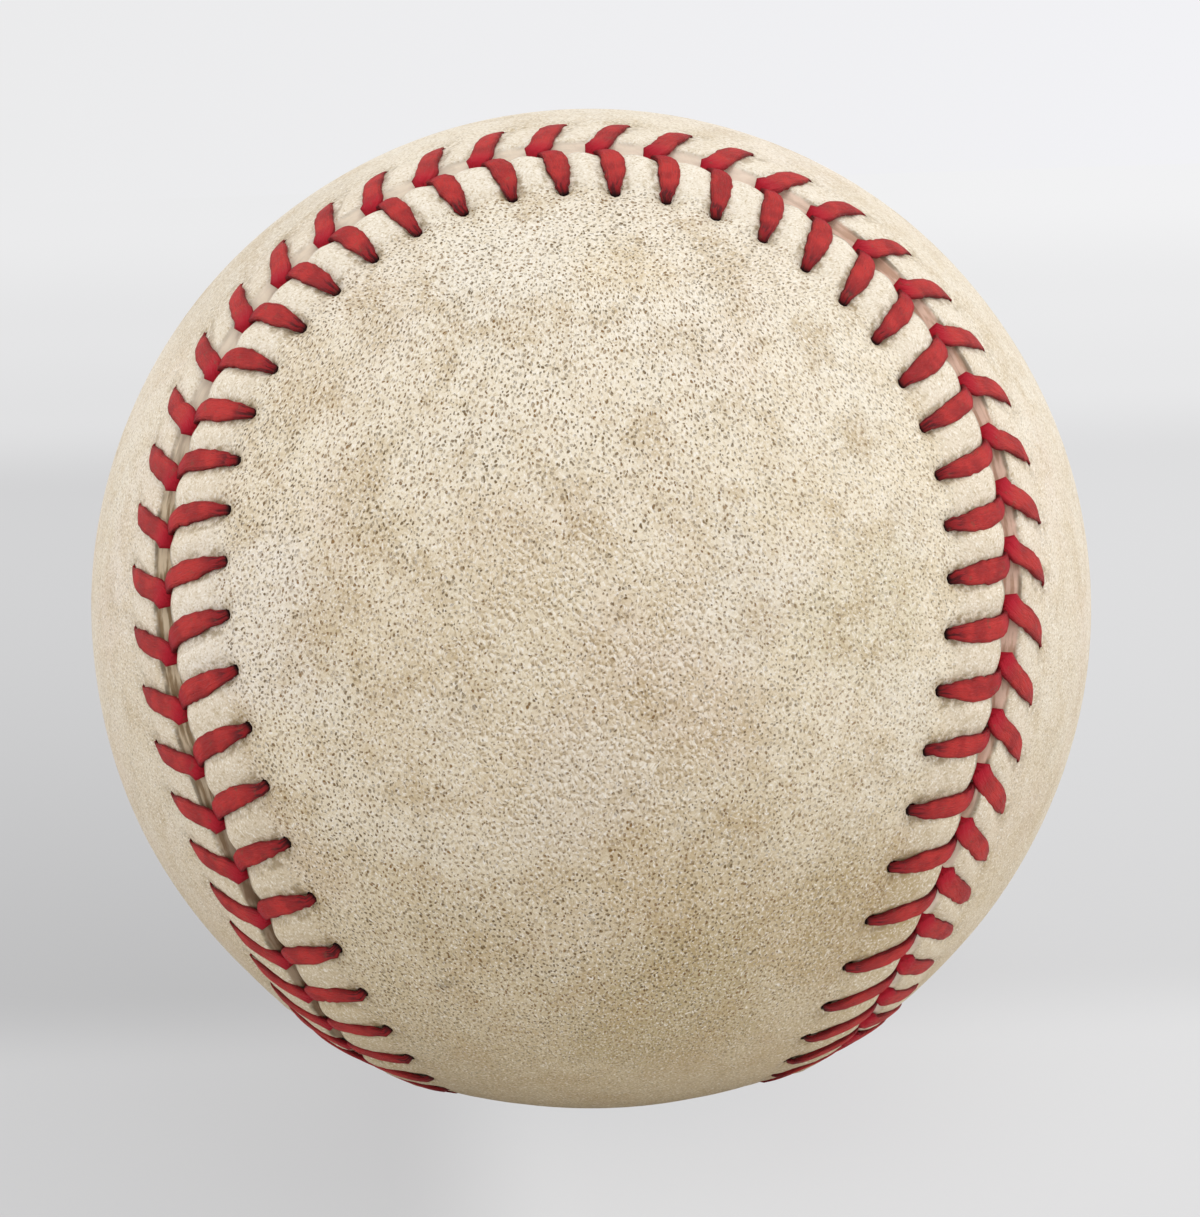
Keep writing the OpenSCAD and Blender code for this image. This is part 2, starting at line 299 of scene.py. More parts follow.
# %% The heights of the leather beside the seam
def seam_sheet(side):
    """Places and numbers for the strip of one panel that runs beside the seam."""
    rng = np.random.default_rng(11 + side)
    swell_share = rng.uniform(0.82, 1.12, stitch_count)
    push_share = rng.uniform(0.3, 1.5, stitch_count)
    lean = rng.uniform(-0.06, 0.06, stitch_count)
    pucker = rng.uniform(0.0, 1.2, stitch_count) ** 2
    column = np.arange(columns + 1)
    n = (column // per_stitch) % stitch_count
    part = (column % per_stitch) / per_stitch
    stitch = column / per_stitch
    puff = np.interp(stitch, list(PUFFS), list(PUFFS.values()), period=stitch_count)
    rows = PANEL_ROWS[side].T[:, :, None]
    rows = rows + (PANEL_ROWS[-1].T[:, :, None] - rows) * puff
    across0, low, swell, push = rows
    leaned = part + lean[n] * np.sin(2 * math.pi * part)
    crown = (0.5 - 0.5 * np.cos(2 * math.pi * leaned)) ** crown_power
    even_across = across0 - push * push_share[n] * crown
    across = to_real(side, even_across, stitch)
    along = (stitch + phase) * pitch + leg_shift(side, to_real(side, across0, stitch), stitch)
    nearest = (n + np.round(part).astype(int)) % stitch_count
    hole = hole_d(side, nearest)
    # The eight places round each hole go onto a circle
    from_leg = (part - np.round(part)) * pitch * np.ones_like(across)
    for row in (hole_row - 1, hole_row, hole_row + 1):
        near = np.abs(from_leg[row]) < 1.5 * pitch / per_stitch
        ahead, aside = from_leg[row], across[row] - hole
        grow = hole_r[side] / np.maximum(np.hypot(ahead, aside), least_gap)
        along[row] = np.where(near, along[row] + ahead * (grow - 1), along[row])
        across[row] = np.where(near, hole + aside * grow, across[row])
        from_leg[row] = np.where(near, ahead * grow, from_leg[row])
    height = low + swell * swell_share[n] * crown
    to_hole = np.hypot(from_leg, across - hole)
    height -= hole_dip[side] * bell(to_hole / dip_r)
    ridge = ((from_leg - pucker_ahead) / pucker_long) ** 2
    ridge = ridge + ((across - hole + pucker_back) / pucker_wide) ** 2
    height += pucker_height * pucker[nearest] * np.exp(-ridge)
    points = place(along, side * across, height)
    beside = np.clip((across - uneven_from) / uneven_over, 0, 1)
    uneven = lumps(points.reshape(-1, 3), uneven_size, uneven_height, side)
    uneven = uneven.reshape(height.shape) + uneven_height / 2
    points = place(along, side * across, height + uneven * beside)
    edge = np.interp(np.arange(row_count), *EDGE)
    numbers = {
        "across": even_across / MM,
        "along": along / MM,
        "crown": crown * np.ones_like(across),
        "edge": edge[:, None] * np.ones_like(across),
        "hole": bell(to_hole / hole_dirt_r),
    }
    return points, numbers


# %% [markdown]
# ## The open leather
# Inside the strip the panel is plain curved leather. A fill would join far points with long
# thin triangles, so points are spread evenly over the ball, the ones inside the strip are
# flattened by a map that keeps angles, and a triangulation that respects the strip's last
# row joins them. Two thinned rows between keep the triangles well shaped.

# %% Points for the middle of a panel
open_spacing = 1.1 * MM
fade_rows = ((7.35 * MM, 2), (8.4 * MM, 4))
lump_size, lump_height = 15 * MM, 0.22 * MM
lump_fade = 4  # mm from the strip to where the lumps have their full height
seam_samples = np.arange(columns) * seam_length / columns
seam_points = place(seam_samples, np.zeros(columns), np.zeros(columns))
seam_across = frame_at(seam_samples, np.zeros(columns))[2]


def even_points(spacing):
    count = int(4 * math.pi * ball_r ** 2 / spacing ** 2)
    k = np.arange(count) + 0.5
    z = 1 - 2 * k / count
    turn = k * math.pi * (3 - math.sqrt(5))
    flat = np.sqrt(1 - z * z)
    return np.stack([flat * np.cos(turn), flat * np.sin(turn), z], axis=-1) * ball_r


def from_seam(points):
    """Signed distance from the seam over the ball, and the length along to the nearest point."""
    nearest = np.argmin(-(points @ seam_points.T), axis=1)
    gap = np.linalg.norm(points - seam_points[nearest], axis=1)
    sign = np.sign(np.sum(points * seam_across[nearest], axis=1))
    return sign * 2 * ball_r * np.arcsin(gap / 2 / ball_r), seam_samples[nearest]


open_points = even_points(open_spacing)
open_across, open_along = from_seam(open_points)
print(len(open_points), "points spread over the ball")


# %% The middle of a panel as triangles
def panel_middle(side, rim, rim_numbers):
    inner = side * open_across > fade_rows[-1][0] + 0.8 * open_spacing
    points, across, along = [rim], [rim_numbers["across"]], [rim_numbers["along"]]
    for fade_across, thin in fade_rows:
        stitch = np.arange(0, columns, thin) / per_stitch
        s = (stitch + phase) * pitch + leg_shift(side, fade_across, stitch)
        points.append(place(s, np.full(len(s), side * fade_across), np.zeros(len(s))))
        across.append(np.full(len(s), fade_across / MM))
        along.append(s / MM)
    points.append(open_points[inner])
    across.append(side * open_across[inner] / MM)
    along.append(open_along[inner] / MM)
    points, across = np.concatenate(points), np.concatenate(across)
    body = unit(points)
    flat = body[:, :2] / (1 + side * body[:, 2:])
    loop = list(range(len(rim)))
    inside_only, same_point = 1, 1e-9
    result = delaunay_2d_cdt([Vector(p) for p in flat], [], [loop], inside_only, same_point)
    made_from = [group[0] for group in result[3]]
    faces = np.array([[made_from[i] for i in face] for face in result[2]])
    a, b, c = (points[faces[:, i]] for i in range(3))
    inward = np.sum(np.cross(b - a, c - a) * a, axis=1) < 0
    faces[inward] = faces[inward][:, ::-1]
    fade = np.clip((across - last_across / MM) / lump_fade, 0, 1)
    points = points + body * (lumps(points, lump_size, lump_height) * fade)[:, None]
    mesh = bpy.data.meshes.new("middle")
    mesh.from_pydata(points.tolist(), [], faces.tolist())
    obj = bpy.data.objects.new("middle", mesh)
    bpy.context.collection.objects.link(obj)
    zero = np.zeros(len(points))
    keep_numbers(obj, {"across": across, "along": np.concatenate(along), "crown": zero,
                       "edge": zero, "hole": zero})
    return obj


# %% [markdown]
# ## From a sheet to a panel of leather
# The strip and the middle are joined and their shared row is merged. A Solidify modifier
# gives the sheet its thickness and closes the rims at the seam and round the holes. The
# flesh side then lies on the cement, apart from soft grooves over the thread beneath it.

# %% One panel
groove_depth, groove_reach = 0.44 * MM, 0.62 * MM
least_leather = 0.06 * MM
strip_merge = 0.002 * MM
sharp_edge = math.radians(55)
field_gap, facing_gap = 130, 61  # mm between the fields of the map


def groove_height(side, along, across):
    """How far the flesh side stands off the cement, over the runs of thread beneath."""
    share = np.clip(across / even_hole, 0, 1.05)
    n = along / pitch - phase
    start = between(DIVE_AHEAD, -side, n - 1) - pitch
    lead = between(HOLE_AHEAD, side, n) - start
    off = np.mod(along - phase * pitch - start - lead * share + pitch / 2, pitch) - pitch / 2
    lean = np.cos(np.arctan2(lead, even_hole))
    near = np.clip(1 - np.abs(off) * lean / groove_reach, 0, 1)
    return groove_depth * np.minimum(1, 2 * near) * (across < even_hole + groove_reach)


def lay_pores_uv(obj):
    """A UV map in millimetres over the ball, in six fields as on the sides of a box."""
    mesh = obj.data
    sizes = read(mesh.polygons, "loop_total", int)
    centres = read(mesh.polygons, "center", width=3)
    field = np.argmax(np.abs(centres), axis=1)
    facing = np.sign(centres[np.arange(len(centres)), field])
    field, facing = np.repeat(field, sizes), np.repeat(facing, sizes)
    spot = vertex_places(obj)[read(mesh.loops, "vertex_index", int)]
    rows = np.arange(len(spot))
    depth = np.abs(spot[rows, field])
    u = np.arctan2(spot[rows, (field + 1) % 3], depth) * ball_r / MM
    v = np.arctan2(spot[rows, (field + 2) % 3], depth) * ball_r / MM
    u += field_gap * field + facing_gap * facing
    mesh.uv_layers.active.data.foreach_set("uv", np.stack([u, v], axis=-1).reshape(-1))


def leather_panel(side):
    """The strip and the middle of one panel, joined, thickened and laid on the cement."""
    points, numbers = seam_sheet(side)
    strip = placed_grid(f"leather_{side_name[side]}", points)
    keep_numbers(strip, numbers)
    rim_numbers = {k: v[-1, :-1] for k, v in numbers.items()}
    middle = panel_middle(side, points[-1, :-1], rim_numbers)
    # The vertex in the middle of each hole goes, and its faces with it
    centres = np.zeros(points.shape[:2], bool)
    centres[hole_row, ::per_stitch] = True
    in_edit_mode(strip, SELECT_NONE)
    strip.data.vertices.foreach_set("select", centres.reshape(-1))
    in_edit_mode(strip, (bpy.ops.mesh.delete, {"type": "VERT"}))
    if side > 0:
        in_edit_mode(strip, SELECT_ALL, (bpy.ops.mesh.flip_normals, {}))
    middle.select_set(True)
    bpy.ops.object.join()
    in_edit_mode(strip, SELECT_ALL, (bpy.ops.mesh.remove_doubles, {"threshold": strip_merge}))
    count = len(strip.data.vertices)
    wall = strip.modifiers.new("thickness", "SOLIDIFY")
    wall.thickness, wall.offset = leather_t, -1
    bpy.ops.object.modifier_apply(modifier="thickness")
    co = vertex_places(strip)
    along, across = read_numbers(strip, "along") * MM, read_numbers(strip, "across") * MM
    flesh_r = cement_r + groove_height(side, along, across)[:count]
    grain_r = np.maximum(np.linalg.norm(co[:count], axis=1), flesh_r + least_leather)
    top = np.concatenate([grain_r, flesh_r])
    strip.data.vertices.foreach_set("co", (unit(co) * top[:, None]).reshape(-1))
    strip.data.update()
    lay_pores_uv(strip)
    select_only(strip)
    bpy.ops.object.shade_smooth_by_angle(angle=sharp_edge)
    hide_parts(f"cover_panel_{side_name[side]}")
    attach(strip, "root")
    report(strip)
    return strip


leather = {side: leather_panel(side) for side in (-1, 1)}

# %% [markdown]
# ## The thread
# One waxed cotton thread sews the whole cover. It is flat where it is drawn over the leather
# and narrow where it goes through a hole or the seam. A tube is again a grid: its columns
# follow the thread's route and its rows go round it. A curve with a bevel would twist at the
# sharp turns, so each ring is given its own heading.

# %% The stations of one leg
LEG_STATIONS = {  # share of the leg, then height, width, shift and thickness in mm
    -1: [(0.04, 0.12, 0.86, 0.08, 0.28), (0.13, 0.17, 0.98, -0.03, 0.32),
         (0.22, 0.20, 1.17, -0.06, 0.36), (0.34, 0.22, 1.36, -0.11, 0.37),
         (0.46, 0.23, 1.54, -0.14, 0.38), (0.60, 0.24, 1.56, -0.20, 0.38),
         (0.74, 0.24, 1.50, -0.20, 0.38), (0.86, 0.22, 1.38, -0.12, 0.38),
         (0.95, 0.15, 1.10, 0.08, 0.38), (1.04, -0.06, 0.78, 0.34, 0.36)],
    1: [(0.04, 0.03, 0.18, 0.00, 0.14), (0.13, 0.09, 0.60, 0.08, 0.22),
        (0.22, 0.15, 1.04, 0.08, 0.30), (0.34, 0.20, 1.38, 0.09, 0.36),
        (0.46, 0.23, 1.48, 0.04, 0.38), (0.60, 0.24, 1.50, -0.03, 0.38),
        (0.74, 0.24, 1.54, -0.17, 0.38), (0.86, 0.22, 1.60, -0.32, 0.38),
        (0.95, 0.18, 1.66, -0.35, 0.38), (1.04, 0.02, 1.48, -0.10, 0.38)]}
HOLE_RINGS = {  # width and thickness deep in the hole and at its mouth
    -1: ((0.64, 0.36), (0.70, 0.28)), 1: ((0.30, 0.22), (0.14, 0.14))}
leg_shares = np.linspace(0.04, 1.04, 15)
tube_sides = 12
under_height = -1.0
bow = 0.12 * MM
leg_reach = 5.0 * MM  # across, from a hole to where its leg dives
rng_thread = np.random.default_rng(5)


def leg_heading(side, lead):
    """Along and across parts of a thread's width, for a leg that leans by lead."""
    lean = math.atan2(lead, leg_reach)
    return math.cos(lean), side * math.sin(lean)


def leg_rings(side, n):
    """Rings of one leg: along, across, height, heading, width, thickness, share, part."""
    start, start_across = hole_s(side, n), hole_d(side, n)
    end, end_across = dive_s(side, n), dive_offset[side]
    over = leg_heading(side, end - start)
    came = leg_heading(-side, start - dive_s(-side, n - 1))
    goes = leg_heading(side, hole_s(-side, n + 1) - end)
    width_share, bow_share = rng_thread.uniform(0.93, 1.05), rng_thread.uniform(-1, 1)
    tip = rng_thread.uniform(-0.12, 0.12) * MM
    (deep_w, deep_t), (mouth_w, mouth_t) = HOLE_RINGS[side]
    rings = [
        (start, start_across - 0.08 * MM, under_height, came, 0.80, 0.30, -0.25),
        (start, start_across + 0.08 * MM, -0.52, over, deep_w, deep_t, -0.12),
        (start, start_across + 0.06 * MM + tip, -0.05, over, mouth_w, mouth_t, 0.0)]
    stations = np.array(LEG_STATIONS[side]).T
    for share in leg_shares:
        height, width, shift, thick = (np.interp(share, stations[0], row) for row in stations[1:])
        shift = shift * MM + rng_thread.normal(0, 0.025) * MM
        shift += bow * bow_share * math.sin(math.pi * min(share, 1))
        along = start + (end - start) * share + shift * over[0]
        across = start_across + (end_across - start_across) * share
        across += shift * abs(over[1])
        wide = width * width_share * rng_thread.uniform(0.95, 1.05)
        rings.append((along, across, height, over, wide, thick, share))
    halfway = (end + hole_s(-side, n + 1)) / 2
    rings += [
        (end + 0.06 * MM, end_across - 0.24 * MM, -0.42, goes, 0.85, 0.40, 1.1),
        (end + 0.12 * MM, end_across - 0.60 * MM, under_height + 0.05, goes, 0.80, 0.30, 1.2),
        (halfway, -even_hole / 2, under_height, goes, 0.80, 0.30, 1.5)]
    return [(ring[0], side * ring[1]) + ring[2:] + (side,) for ring in rings]


# %% The route of the whole thread
def half_thread(first):
    """Rings of one needle's way round the ball, which starts in panel first."""
    rings = []
    for n in range(stitch_count):
        rings += leg_rings(first if n % 2 == 0 else -first, n)
    return rings[:-1]


middle_s = (hole_s(-1, 0) + hole_s(1, 0)) / 2
shoulder = 1.0 * MM
start_rings = [  # the first crossing is flat, so that it stays out of sight in the seam
    (middle_s, shoulder, -1.05, (1.0, 0.0), 0.5, 0.3, 1.5, 1),
    (middle_s, 0.0, -1.15, (1.0, 0.0), 0.3, 0.1, 1.5, -1),
    (middle_s, -shoulder, -1.05, (1.0, 0.0), 0.5, 0.3, 1.5, -1)]
route = half_thread(1)[::-1] + start_rings + half_thread(-1)
s, d, h, heading, wide, thick, share, ring_side = (np.array(part) for part in zip(*route))
out, ahead, over = frame_at(s, d)
centre = out * (ball_r + h * MM)[:, None]
going = unit(np.gradient(centre, axis=0))
width_dir = ahead * heading[:, :1] + over * heading[:, 1:]
width_dir = unit(width_dir - going * np.sum(going * width_dir, axis=1, keepdims=True))
thick_dir = np.cross(going, width_dir)
gone = np.concatenate([[0], np.cumsum(np.linalg.norm(np.diff(centre, axis=0), axis=1))])
print(len(route), "rings,", round(gone[-1], 3), "m of thread")


# %% The thread as one closed tube
tube_merge = 0.001 * MM


def rounded(x, power=0.55):
    """A cosine or sine made squarer, so that a round section becomes a flat one."""
    return np.sign(x) * np.abs(x) ** power


round_angle = -np.linspace(0, 2 * math.pi, tube_sides + 1)[:, None, None]
points = (centre + width_dir * (wide * MM / 2)[:, None] * rounded(np.cos(round_angle))
          + thick_dir * (thick * MM / 2)[:, None] * rounded(np.sin(round_angle)))
thread = placed_grid("red_thread", points)
numbers = {
    "share": share, "gone": gone / MM, "turn": -round_angle[:, :, 0] / (2 * math.pi),
    "rim": np.abs(np.cos(round_angle[:, :, 0])), "legside": ring_side}
keep_numbers(thread, {k: np.broadcast_to(v, points.shape[:2]) for k, v in numbers.items()})
in_edit_mode(
    thread, SELECT_ALL, (bpy.ops.mesh.remove_doubles, {"threshold": tube_merge}), SELECT_NONE,
    (bpy.ops.mesh.select_non_manifold, {}), (bpy.ops.mesh.edge_face_add, {}))
bpy.ops.object.shade_smooth()
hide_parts("stitch_thread")
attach(thread, "root")
report(thread)

# %% [markdown]
# ## Finishes
# All finishes are procedural. A few short helpers keep them readable: one puts a node into
# a material and joins it up, and the rest are the nodes that come back in every finish.
# Sizes are given in millimetres, so the object's own coordinates are scaled up first. The
# sky is made with the same helpers.


# %% Helpers for finishes
def tone(red, green, blue):
    """A colour as it is picked on a screen, made linear for the shader."""
    def linear(c):
        c /= 255
        return c / 12.92 if c <= 0.04045 else ((c + 0.055) / 1.055) ** 2.4

    return (linear(red), linear(green), linear(blue), 1)


class Nodes:
    """Short ways to put nodes into a tree and join them up."""

    def __init__(self, tree):
        self.tree = tree

    def put(self, kind, inputs=None, **settings):
        node = self.tree.nodes.new("ShaderNode" + kind)
        for key, value in settings.items():
            setattr(node, key, value)
        for key, value in (inputs or {}).items():
            self.join(value, node.inputs[key])
        return node

    def join(self, value, socket):
        if isinstance(value, bpy.types.NodeSocket):
            self.tree.links.new(value, socket)
        else:
            socket.default_value = value

    def ramp(self, value, low, high, start=0.0, end=1.0):
        """A smooth step from start to end as value goes from low to high."""
        return self.put("MapRange", {"Value": value, "From Min": low, "From Max": high,
                                     "To Min": start, "To Max": end},
                        interpolation_type="SMOOTHSTEP").outputs["Result"]

    def maths(self, operation, a, b=0.0):
        return self.put("Math", {0: a, 1: b}, operation=operation).outputs[0]

    def times(self, product, *others):
        for other in others:
            product = self.maths("MULTIPLY", product, other)
        return product

    def vector(self, operation, a, b=(0, 0, 0)):
        """Vector maths; a distance or a length comes out as one number."""
        node = self.put("VectorMath", {0: a, 1: b}, operation=operation)
        return node.outputs["Value" if operation in ("DISTANCE", "LENGTH") else "Vector"]

    def mix(self, factor, a, b):
        """Mixes two colours, each of them a socket or three numbers as picked on a screen."""
        a, b = (tone(*colour) if isinstance(colour, tuple) else colour for colour in (a, b))
        return self.put("Mix", {0: factor, 6: a, 7: b}, data_type="RGBA").outputs[2]

    def over(self, under, shade, mask, low, high, share):
        """A colour with a share of a shade over it, as mask goes from low to high."""
        return self.mix(self.ramp(mask, low, high, 0, share), under, shade)


class Finish(Nodes):
    """A material with a Principled shader, and short ways to build what feeds it."""

    def __init__(self, name):
        self.material = bpy.data.materials.new(name)
        self.material.use_nodes = True
        super().__init__(self.material.node_tree)
        self.shader = self.tree.nodes["Principled BSDF"]
        spot = self.put("TexCoord").outputs["Object"]
        self.mm = self.put("VectorMath", {0: spot, "Scale": 1 / MM}, operation="SCALE").outputs[0]

    def noise(self, size, detail=3.0, rough=0.5, at=None, seed=0.0):
        """Cloudy noise whose blotches are about size millimetres across."""
        where = self.vector("ADD", at or self.mm, (seed, seed, seed))
        return self.put("TexNoise", {"Vector": where, "Scale": 1 / size, "Detail": detail,
                                     "Roughness": rough}).outputs["Fac"]

    def cells(self, size, feature="F1", at=None, flat=False):
        """Cells about size millimetres wide, in space or on a flat map."""
        return self.put("TexVoronoi", {"Vector": at or self.mm, "Scale": 1 / size},
                        feature=feature, voronoi_dimensions="2D" if flat else "3D").outputs

    def number(self, name):
        return self.put("Attribute", attribute_name=name).outputs["Fac"]

    def bump(self, height, depth, under=None):
        """Relief that is depth millimetres high where height is 1."""
        node = self.put("Bump", {"Height": height, "Distance": depth * MM, "Strength": 1.0})
        if under:
            self.join(under, node.inputs["Normal"])
        return node.outputs["Normal"]

    def end(self, colour, rough, normal=None, **fixed):
        """Joins colour, roughness and normal to the shader and sets its plain sockets."""
        self.join(colour, self.shader.inputs["Base Color"])
        self.join(rough, self.shader.inputs["Roughness"])
        if normal:
            self.join(normal, self.shader.inputs["Normal"])
        for name, value in fixed.items():
            self.shader.inputs[name.replace("_", " ")].default_value = value
        print("finish", self.material.name, len(self.tree.nodes), "nodes")
        return self.material


def dress(obj, material):
    obj.data.materials.clear()
    obj.data.materials.append(material)


# %% [markdown]
# ## Leather
# The cover is cream cowhide, rubbed with mud and stained by play. Pores show as dense dark
# pinpricks on the open leather, while the tongues beside the seam are stretched smooth and
# pale. Dirt gathers round the holes and on the cut edges. The numbers kept on the mesh say
# where each of these is, and noise breaks every border. Light and shade are painted in too:
# the leather is darker low down and paler high up, each rubbed pebble has a painted highlight
# and shade, the crease beside each leg and the top of the cut edge get painted shade, the cut
# edge is made paler high up, and one pale patch is partly a painted sheen.

# %% The leather finish
STAINS_AND_SHEEN = [  # place on the ball in mm, how far it reaches, colour, strength
    ((34.4, 6.1, -12.6), 9.0, (198, 174, 130), 0.32),
    ((30.3, -9.2, -19.4), 1.5, (126, 114, 92), 0.75),
    ((36.9, 0.4, -3.7), 6.5, (236, 226, 212), 0.45),
    ((34.9, -11.9, 2.4), 5.0, (206, 182, 142), 0.28),
    ((36.4, 3.0, -4.0), 12.0, (198, 173, 128), 0.22),
    ((28.0, -17.6, 22.2), 6.0, (208, 184, 148), 0.30),
    ((25.2, -3.3, 27.1), 5.5, (240, 232, 216), 0.45),
    ((26.6, 4.0, 25.6), 3.5, (222, 198, 152), 0.30),
    # A pale patch: paler leather with a painted sheen over it
    ((34.6, 10.3, 8.8), 5.5, (238, 229, 214), 0.45),
    ((35.5, -5.0, 11.1), 5.5, (210, 186, 148), 0.35),
    ((32.3, 17.3, 6.0), 5.5, (206, 192, 154), 0.35),
    ((30.3, -20.9, 6.9), 7.5, (240, 229, 213), 0.65),
    ((31.5, 4.1, -19.2), 9.5, (176, 155, 106), 0.52),
    ((30.3, 17.0, -14.0), 8.5, (180, 154, 104), 0.60),
    ((33.5, -9.2, -13.2), 5.5, (186, 164, 122), 0.30)]
UPPER_STAINS = [((8.4, -22.8, 28.1), 12.0, (206, 192, 170), 0.45)]
rubbed_spot, rubbed_reach = (36.9, -0.6, 2.0), 16.0


def worn_leather(name, creams, low_dirt_shade_high_light, pore_share, tongue, dirt_and_shade, stains_and_sheen):
    """Cream leather. Most settings are shares: of dirt and painted shade low down and painted
    light high up, of pores, of dirt with painted shade beside the legs.
    """
    f = Finish(name)
    across, along, crown, edge, hole = (
        f.number(k) for k in ("across", "along", "crown", "edge", "hole"))
    place_mm = f.put("SeparateXYZ", {0: f.mm}).outputs
    rightward, up = place_mm["Y"], place_mm["Z"]
    open_leather = f.ramp(across, 3.4, 5.0)
    sway = f.put("TexNoise", {"Vector": f.mm, "Scale": 0.13, "Detail": 5.0}).outputs["Color"]
    sway = f.vector("SUBTRACT", sway, (0.5, 0.5, 0.5))
    swayed = f.vector("ADD", f.mm, f.vector("MULTIPLY", sway, (12, 12, 12)))

    def near(spot, reach):
        return f.ramp(f.vector("DISTANCE", swayed, spot), reach, 0.45 * reach)

    # Stains, from broad clouds to fine specks
    clouds, blotches = f.noise(12, 5, 0.6), f.noise(2.2, 5, 0.6, seed=7)
    specks = f.noise(0.6, 3, seed=3)
    cream = f.mix(f.ramp(clouds, 0.36, 0.64), *creams)
    cream = f.over(cream, (237, 228, 210), f.noise(8, 4, seed=21), 0.52, 0.68, 0.45)
    cream = f.over(cream, (230, 208, 188), f.noise(14, 3, seed=33), 0.48, 0.68, 0.45)
    cream = f.over(cream, (210, 188, 150), blotches, 0.46, 0.66, 0.42)
    pale = f.mix(f.ramp(specks, 0.35, 0.75, 0, 0.5), (230, 215, 192), (208, 190, 160))
    colour = f.mix(f.ramp(across, 3.4, 5.0, 1 - tongue, 1), pale, cream)
    # Painted shade with dirt: darker and more olive low down; painted light: paler high up
    colour = f.over(colour, (202, 182, 141), up, 4, -30, low_dirt_shade_high_light[0])
    colour = f.over(colour, (240, 232, 216), up, 8, 34, low_dirt_shade_high_light[1])
    grainy = f.ramp(f.noise(0.35, 3, 0.6, seed=61), 0.36, 0.60, 0.45, 1.3)
    # The stains, one of them partly a painted sheen
    for spot, reach, patch_colour, strength in stains_and_sheen:
        colour = f.mix(f.times(grainy, strength, near(spot, reach)), colour, patch_colour)
    dusty = f.times(f.ramp(f.noise(4.5, 5, 0.62, seed=60), 0.49, 0.63), grainy)
    colour = f.mix(f.times(open_leather, 0.6 * dirt_and_shade, dusty), colour, (190, 163, 118))
    colour = f.over(colour, (186, 164, 126), specks, 0.48, 0.72, 0.22)
    # Pores, in the map laid over the ball; they fade where the grain is rubbed to pebbles
    uv = f.put("TexCoord").outputs["UV"]
    bend = f.put("TexNoise", {"Vector": uv, "Scale": 1.1, "Detail": 2.0}).outputs["Color"]
    bent = f.vector("ADD", uv, f.vector("MULTIPLY", bend, (0.6, 0.6, 0.6)))
    pore_at = f.put("Mapping", {"Vector": bent, "Rotation": (0, 0, 0.7),
                                "Scale": (1, 0.8, 1)}).outputs[0]
    grain = f.noise(0.16, 2, 0.6, at=pore_at)
    colour = f.over(colour, (252, 245, 234), grain, 0.52, 0.70, 0.8)
    colour = f.over(colour, (178, 153, 108), grain, 0.46, 0.30, 0.65)
    rubbed = f.times(near(rubbed_spot, rubbed_reach),
                     f.ramp(f.noise(2.5, 3, seed=40), 0.32, 0.56))
    cell = f.cells(0.31, at=pore_at, flat=True)
    size = f.ramp(f.noise(1.3, 3, seed=11), 0.32, 0.68, 0.15, 0.25)
    size = f.maths("ADD", size, f.times(cell["Color"], 0.10))
    size = f.maths("SUBTRACT", size, f.times(rubbed, 0.09))
    pore = f.ramp(f.maths("SUBTRACT", cell["Distance"], size), -0.12, 0.06, 1, 0)
    pore = f.times(open_leather, pore_share, pore)
    pore = f.times(pore, f.ramp(up, -31, -18, 0.4, 1), f.ramp(rightward, 4, 20, 1, 0.7))
    mixed = f.put("TexWhiteNoise", {"Vector": cell["Position"]}, noise_dimensions="2D")
    dark = f.ramp(mixed.outputs["Value"], 0.1, 1.0, 0.35, 0.95)
    browner = f.ramp(f.noise(3, 4, seed=5), 0.40, 0.60)
    pore_tone = f.mix(browner, (106, 80, 34), (136, 96, 38))
    colour = f.mix(f.times(pore, dark), colour, pore_tone)
    # Pebbles where the grain is rubbed, with painted light: a painted highlight on the edge above
    # each and painted shade on the edge below
    pebble = f.cells(0.30, at=pore_at, flat=True)["Distance"]
    higher = f.vector("ADD", pore_at, (-0.009, 0.036, 0))
    slope = f.maths("SUBTRACT", f.cells(0.30, at=higher, flat=True)["Distance"], pebble)
    ragged = f.times(rubbed, f.ramp(f.noise(0.7, 3, seed=50), 0.34, 0.52))
    lit, shaded = f.ramp(slope, 0.06, 0.12), f.ramp(slope, -0.06, -0.12)
    colour = f.mix(f.times(ragged, 0.6, lit), colour, (250, 241, 226))
    colour = f.mix(f.times(ragged, 0.7, shaded), colour, (170, 144, 106))
    # Dirt round the holes and on the cut edge, and beside the legs dirt with painted shade in the
    # crease
    beside = f.times(f.ramp(across, 5.0, 4.4), f.ramp(crown, 0.82, 0.56),
                     f.ramp(across, 1.0, 3.2, 0.35, 1))
    patchy = f.ramp(f.noise(0.6, 5, 0.65, seed=2), 0.40, 0.60)
    grime_and_crease_shade = f.times(f.maths("MAXIMUM", hole, beside), patchy, dirt_and_shade)
    colour = f.mix(grime_and_crease_shade, colour, (144, 120, 80))
    streak_at = f.put("CombineXYZ", {0: f.times(along, 0.45), 1: f.times(across, 3.5), 2: edge})
    streaks = f.noise(1.0, 4, at=streak_at.outputs[0])
    to_right = f.ramp(rightward, -5, 5)
    cut_light = f.mix(to_right, (222, 202, 170), (226, 190, 168))
    cut_dark = f.mix(to_right, (148, 122, 86), (190, 150, 124))
    cut = f.mix(f.ramp(streaks, 0.42, 0.60), cut_light, cut_dark)
